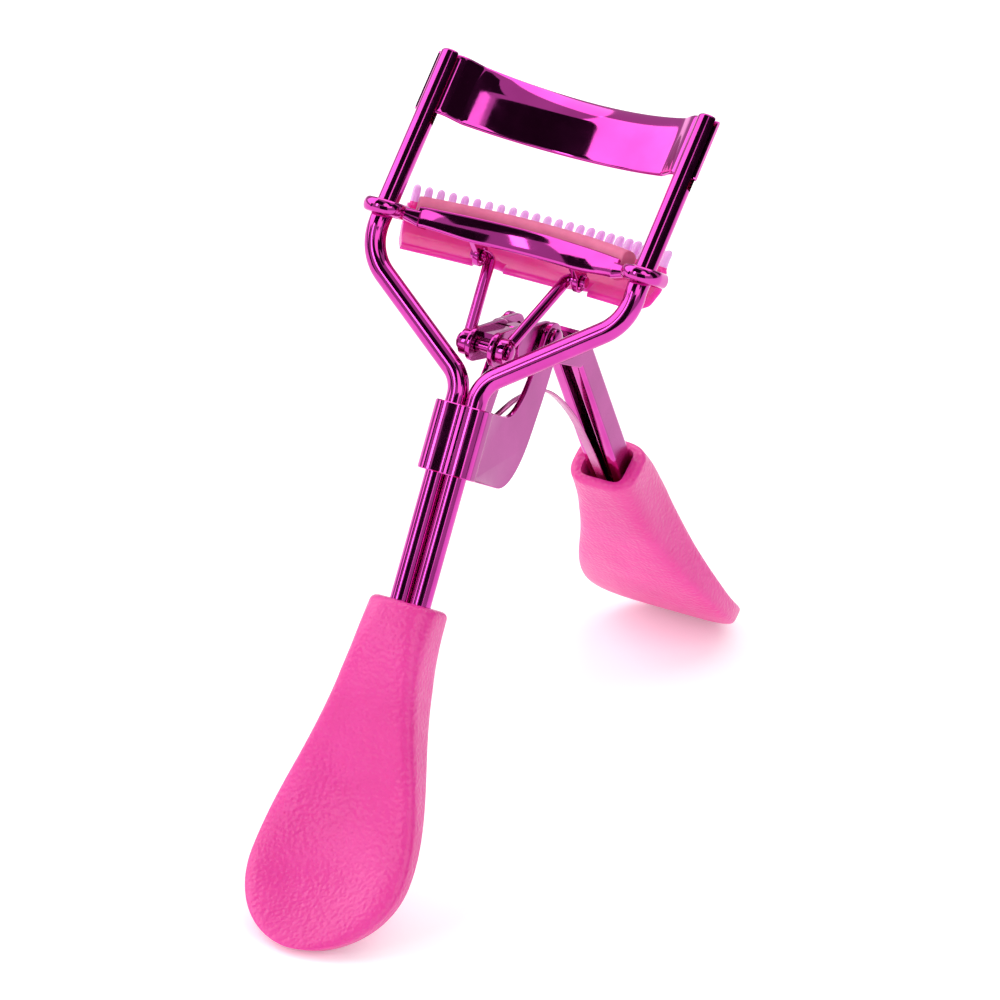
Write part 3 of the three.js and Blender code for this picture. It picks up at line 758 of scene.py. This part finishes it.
def lever():
    """Stamped rear lever: rolled stem, side plates to the nose, and webs between them."""
    crank = crank_in_lever()
    middle = (crank[0] * 0.45, crank[1] * 0.45)
    bridge = (middle[0] * 0.55, middle[1] * 0.55)
    elbow = (REAR_STEM_Y - 1.2, STEM_TOP_Z - 1.4)
    waist = (1.35, -5.0)
    section = stem_section(2.2, 1.7, 0.55, 0.65)
    foot = REAR_MOUTH_Z - INSERTION
    stem = loft([[(x, y, z) for x, y in section] for z in (foot, STEM_TOP_Z)])
    sheets = []
    for a, b, ra, rb, inner, outer in (
        (crank, middle, 2.0, 2.2, 1.12, 1.72),
        (middle, (0, 0), 2.1, 2.15, 1.6, 2.2),
        ((0, 0), waist, 1.85, 1.05, 1.6, 2.2),
        (waist, elbow, 1.05, 1.0, 1.6, 2.2),
    ):
        outline = capsule(a, b, ra, rb)
        sheets += [plate([outline], inner, outer), plate([outline], -outer, -inner)]
    half_web = 0.3
    for a, b, half_x, offset in ((crank, middle, 1.5, 1.3), (middle, bridge, 2.0, 1.4)):
        lean = Matrix.Rotation(math.atan2(b[1] - a[1], b[0] - a[0]), 4, "X")
        web = block((-half_x, 0, offset - half_web), (half_x, math.dist(a, b), offset + half_web))
        sheets.append(placed(web, Matrix.Translation((0, *a)) @ lean))
    bores = [bar_x(FULCRUM_BORE_R, -5, 5, 0, 0, 40), bar_x(CRANK_BORE_R, -5, 5, *crank, 32)]
    piece = combine("rear_lever", stem, REAR, add=sheets, cut=bores)
    finished(piece, LOOKS["magenta"], "lever", "lever_arm")
    rough_shade_painted_sides(piece)


def pins():
    """Fulcrum rivet through clasp and lever, and crank rivet through the lever's nose."""
    fulcrum = mesh_object("fulcrum_rivet", rivet(1.0, 1.6, WING_OUTER + 0.3, 0.6), FRONT)
    finished(fulcrum, LOOKS["rivet"], "frame", "fulcrum_pin")
    place = REAR @ Matrix.Translation((0, *crank_in_lever()))
    crank = mesh_object("crank_rivet", rivet(0.65, 1.0, ROD_EYE_X + 0.75, 0.45), place)
    finished(crank, LOOKS["rivet"], "lever", "crank_pin")


# ---------- push rods and their lugs ----------
def push_rod(side, label):
    """Wire link with a flat eye on the crank pin and a hooked end through its lug."""
    top_y, top_z = JAW_ORIGIN.y + ROD_TOP[0], JAW_ORIGIN.z + ROD_TOP[1]
    bottom = Vector((side * ROD_EYE_X, *CRANK))
    top = Vector((side * (ROD_TOP_X - 1.4), top_y, top_z))
    along = (top - bottom).normalized()
    path = bent_path([bottom + along * 1.2, top, (side * (ROD_TOP_X + 1.0), top_y, top_z)], (0.9,))
    eye_x, half_eye = side * ROD_EYE_X, ROD_EYE_T / 2
    eye = [bar_x(ROD_EYE_R, eye_x - half_eye, eye_x + half_eye, *CRANK, 40)]
    bore = [bar_x(ROD_EYE_BORE_R, eye_x - 2, eye_x + 2, *CRANK, 32)]
    rod = combine(f"{label}_link", tube(path, ROD_R, 28, 0.15), FRONT, add=eye, cut=bore)
    finished(rod, LOOKS["magenta"], "links", f"{label}_push_rod")


def lug(side, label):
    """Small bracket under the channel with the push rod's hole."""
    under, eye_r, hole_r, thickness = -1.65, 1.35, ROD_R + 0.3, 0.7
    y, z = ROD_TOP
    outline = [(y - 3.2, under), *arc(y, z, eye_r, 180, 423, 24), (y + 0.1, under)]
    hole = arc(y, z, hole_r, 0, 350, 35)
    x0 = side * ROD_TOP_X - thickness / 2
    piece = mesh_object(f"{label}_lug", plate([outline, hole], x0, x0 + thickness, 0.08), JAW)
    finished(piece, LOOKS["magenta"], "jaw", f"{label}_rod_lug")


# ---------- leaf spring ----------
def smooth_line(points, count):
    """Catmull-Rom line through points in (y, z), evenly spaced."""
    points = [2 * Vector(points[0]) - Vector(points[1]), *map(Vector, points),
              2 * Vector(points[-1]) - Vector(points[-2])]
    fine = []
    for a, b, c, d in zip(points, points[1:], points[2:], points[3:]):
        for t in np.linspace(0, 1, 24, endpoint=False):
            fine.append(0.5 * (2 * b + (c - a) * t + (2 * a - 5 * b + 4 * c - d) * t * t
                               + (3 * b - a - 3 * c + d) * t ** 3))
    fine.append(points[-2])
    lengths = np.cumsum([0] + [(b - a).length for a, b in zip(fine, fine[1:])])
    wanted = np.linspace(0, lengths[-1], count)
    return [Vector((np.interp(w, lengths, [p.x for p in fine]), np.interp(w, lengths, [p.y for p in fine])))
            for w in wanted]


def spring():
    """Strip from the rear grip up between the levers, narrower towards its top."""
    line = smooth_line([
        (3.75, REAR_MOUTH_Z - INSERTION + 1), (3.75, REAR_MOUTH_Z - 3), (3.4, -30), (2.3, -19.5),
        (-0.6, -10.6), (-5.6, -5.1), (-11.0, -1.6), (-14.2, 1.9),
    ], 90)
    half_t, foot_half_x, top_half_x = 0.17, 0.6, 0.38
    rings = []
    for i, point in enumerate(line):
        ahead = (line[min(i + 1, len(line) - 1)] - line[max(i - 1, 0)]).normalized()
        normal = Vector((-ahead.y, ahead.x))
        half_x = foot_half_x - (foot_half_x - top_half_x) * ease((i - 20) / 55)
        ring = []
        for a in np.linspace(0, WHOLE_TURN, 17)[:-1]:
            across = half_x - half_t + half_t * abs(math.cos(a))
            place = point + normal * half_t * math.sin(a)
            ring.append((math.copysign(across, math.cos(a)), place.x, place.y))
        rings.append(ring)
    strip = mesh_object("spring_strip", loft(rings), REAR)
    finished(strip, LOOKS["spring"], None, "leaf_spring", 60)
    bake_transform(strip)


# ---------- grips ----------
FACE = ((0, 3.6), (5, 4.3), (13, 3.7), (20, 2.9), (26, 2.75), (31, 3.4), (36, 5.3), (41, 7.8))
BACK = ((0, -3.6), (6, -3.2), (13, -2.95), (20, -2.5), (26, -1.5), (31, -0.2), (36, 1.9), (41, 5.0))


MOUTH_EDGE = 0.75
END_CENTRE = GRIP_LEN - GRIP_END_R


def table_line(points):
    """A smooth function through the given points."""
    line = smooth_line(points, 400)
    xs, ys = [p.x for p in line], [p.y for p in line]
    return lambda s: float(np.interp(s, xs, ys))


def half_width(s):
    """Half the grip's width at a distance from its mouth."""
    if s < END_CENTRE:
        share = (s / END_CENTRE) ** 1.25
        return MOUTH_HALF_X + (GRIP_END_R - MOUTH_HALF_X) * (1 - math.cos(math.pi * share)) / 2
    return math.sqrt(max(0.0, GRIP_END_R ** 2 - (s - END_CENTRE) ** 2))


def grip_ring(s, face, back, sides, inset=0.0, z=None):
    """Outline of the grip at a distance from its mouth, with the thumb's dish pressed into its face."""
    half = max(0.02, half_width(s) - inset)
    outer, inner = face(s) - inset, back(s) + inset
    corner = 0.38 + 0.3 * max(0.0, 1 - s / 9)
    dish = 0.95 * ease((s - 10) / 14) * ease((GRIP_LEN + 1 - s) / 9)
    ring = []
    for a in np.linspace(0, WHOLE_TURN, sides + 1)[:-1]:
        cos, sin = math.cos(a), math.sin(a)
        across = math.copysign(abs(cos) ** corner, cos)
        out = math.copysign(abs(sin) ** corner, sin)
        x = across * half
        y = (outer + inner) / 2 + out * (outer - inner) / 2
        y -= dish * max(0.0, out) ** 2 * (1 - across * across) ** 2
        ring.append((x, -y, -s if z is None else z))
    return ring


def grip(name, place, turn, socket, body, node):
    """Dished plastic grip with a socket in its mouth, trimmed flat where its tip rests."""
    face, back = table_line(FACE), table_line(BACK)
    sides = 96
    stations = list(np.linspace(MOUTH_EDGE, END_CENTRE, 60))
    for a in np.linspace(0.03, math.pi / 2, 34):
        stations.append(END_CENTRE + (GRIP_END_R - 0.004) * math.sin(a))
    rings = []
    half_x, half_y = socket[0] / 2, socket[1] / 2
    for z in (-INSERTION - 0.6, -0.6):
        rings.append(socket_ring(half_x, half_y, sides, z))
    rings.append(socket_ring(half_x + 0.12, half_y + 0.1, sides, -0.12))
    for a in np.linspace(math.pi / 2, 0, 8):
        inset = MOUTH_EDGE * (1 - math.cos(a))
        depth = MOUTH_EDGE * (1 - math.sin(a))
        rings.append(grip_ring(depth + 0.001, face, back, sides, inset, -depth))
    rings += [grip_ring(s, face, back, sides) for s in stations[1:]]
    full = place @ Matrix.Rotation(turn, 4, "Z")
    floor = placed(block((-90, -120, -40), (90, 120, 0)), full.inverted())
    piece = combine(name, loft(rings), full, cut=[floor])
    finished(piece, LOOKS["grip"], body, node, 50, weighted=False)


def socket_ring(half_x, half_y, sides, z):
    """Nearly square outline of a grip's socket."""
    ring = []
    for a in np.linspace(0, WHOLE_TURN, sides + 1)[:-1]:
        cos, sin = math.cos(a), math.sin(a)
        ring.append((half_x * math.copysign(abs(cos) ** 0.35, cos),
                     -half_y * math.copysign(abs(sin) ** 0.35, sin), z))
    return ring


# ---------- assembly ----------
for side, label in ((-1, "left"), (1, "right")):
    frame_rod(side, label)
    push_rod(side, label)
    lug(side, label)
upper_band()
lower_bar()
pad()
comb()
clasp()
pins()
lever()
spring()
grip("front_handle", FRONT @ Matrix.Translation((0, STEM_Y, FRONT_MOUTH_Z)), 0,
     (5.7, 3.1), "frame", "front_grip")
grip("rear_handle", REAR @ Matrix.Translation((0, REAR_GRIP_Y, REAR_MOUTH_Z)), math.pi,
     (5.3, 4.7), "lever", "rear_grip")


# ---------- studio ----------
def stage_sheet(name, centre, size, facing, colour, only_reflected=False):
    """Flat card that faces a point: the floor, or a dark card that only reflections see."""
    mesh = bpy.data.meshes.new(name)
    w, h = size[0] / 2, size[1] / 2
    mesh.from_pydata([(-w, -h, 0), (w, -h, 0), (w, h, 0), (-w, h, 0)], [], [(0, 1, 2, 3)])
    card = bpy.data.objects.new(name, mesh)
    bpy.context.scene.collection.objects.link(card)
    card.location = centre
    card.rotation_mode = "QUATERNION"
    card.rotation_quaternion = (Vector(facing) - Vector(centre)).to_track_quat("Z", "Y")
    material = bpy.data.materials.new(name)
    material.use_nodes = True
    shader = material.node_tree.nodes["Principled BSDF"]
    shader.inputs["Base Color"].default_value = (*colour, 1)
    shader.inputs["Roughness"].default_value = 0.9
    mesh.materials.append(material)
    if only_reflected:
        shader.inputs["Specular IOR Level"].default_value = 0.0
        card.visible_camera = False
        card.visible_diffuse = False
        card.visible_shadow = False
        card.visible_transmission = False
    return card


def area_light(name, position, size, energy, target=(0, 0, 0.04)):
    light = bpy.data.lights.new(name, "AREA")
    light.shape = "RECTANGLE"
    light.size, light.size_y = size
    light.energy = energy
    lamp = bpy.data.objects.new(name, light)
    bpy.context.scene.collection.objects.link(lamp)
    lamp.location = position
    lamp.rotation_mode = "QUATERNION"
    lamp.rotation_quaternion = (Vector(target) - Vector(position)).to_track_quat("-Z", "Y")
    return lamp


def direction(azimuth, elevation, distance):
    """Point seen from the object at a compass azimuth (0 is the front) and height, in degrees."""
    a, e = math.radians(azimuth), math.radians(elevation)
    return Vector((math.sin(a) * math.cos(e), -math.cos(a) * math.cos(e), math.sin(e))) * distance


CENTRE = Vector((0, 0, 0.05))
FLOOR_SIZE, FLOOR_WHITE, FLOOR_GLOW = 8, 0.95, 0.22
floor = stage_sheet("floor", (0, 0, 0), (FLOOR_SIZE, FLOOR_SIZE), (0, 0, 1), (FLOOR_WHITE,) * 3)
floor_shader = floor.data.materials[0].node_tree.nodes["Principled BSDF"]
floor_shader.inputs["Emission Color"].default_value = (1, 1, 1, 1)
floor_shader.inputs["Emission Strength"].default_value = FLOOR_GLOW

DARK = (0.012, 0.008, 0.012)
CARD_DISTANCE = 0.6
for name, azimuth, elevation, size in (
    ("card_above", -17, 56, (0.50, 0.40)),
    ("card_above_right", 70, 54, (0.20, 0.44)),
    ("card_front", 18, 12, (0.46, 0.40)),
    ("card_left", -52, 8, (0.12, 0.30)),
    ("card_right", 98, 24, (0.34, 0.50)),
    ("card_right_behind", 150, 26, (0.26, 0.40)),
):
    place = CENTRE + direction(azimuth, elevation, CARD_DISTANCE)
    stage_sheet(name, place, size, CENTRE, DARK, only_reflected=True)

for name, azimuth, elevation, distance, size, energy in (
    ("key", -76, 38, 1.2, (1.3, 1.3), 9),
    ("fill", 48, 40, 1.3, (1.0, 1.0), 4),
    ("strip", -22, 28, 1.2, (0.18, 0.5), 1.3),
    ("back", 180, 55, 1.3, (1.4, 0.9), 6.5),
):
    area_light(name, CENTRE + direction(azimuth, elevation, distance), size, energy)

world = bpy.data.worlds.new("studio")
world.use_nodes = True
world.node_tree.nodes["Background"].inputs["Color"].default_value = (1, 1, 1, 1)
world.node_tree.nodes["Background"].inputs["Strength"].default_value = 0.5
bpy.context.scene.world = world
bpy.context.scene.view_settings.view_transform = "Standard"


# ---------- camera ----------
AIM = Vector((-1.39, -1.93, 36.02)) * MM
AZIMUTH, ELEVATION, ROLL, DISTANCE = 25.68, 25.99, 3.69, 0.9
back = direction(AZIMUTH, ELEVATION, 1)
right = Vector((0, 0, 1)).cross(back).normalized()
axes = Matrix((right, back.cross(right), back)).transposed()
camera_data = bpy.data.cameras.new("camera")
camera_data.sensor_width = 36
camera_data.lens = 278.8
camera_data.clip_start, camera_data.clip_end = 0.05, 20
camera = bpy.data.objects.new("camera", camera_data)
bpy.context.scene.collection.objects.link(camera)
camera.matrix_world = Matrix.Translation(AIM + back * DISTANCE) @ (
    Matrix.Rotation(math.radians(ROLL), 3, back) @ axes).to_4x4()
bpy.context.scene.camera = camera
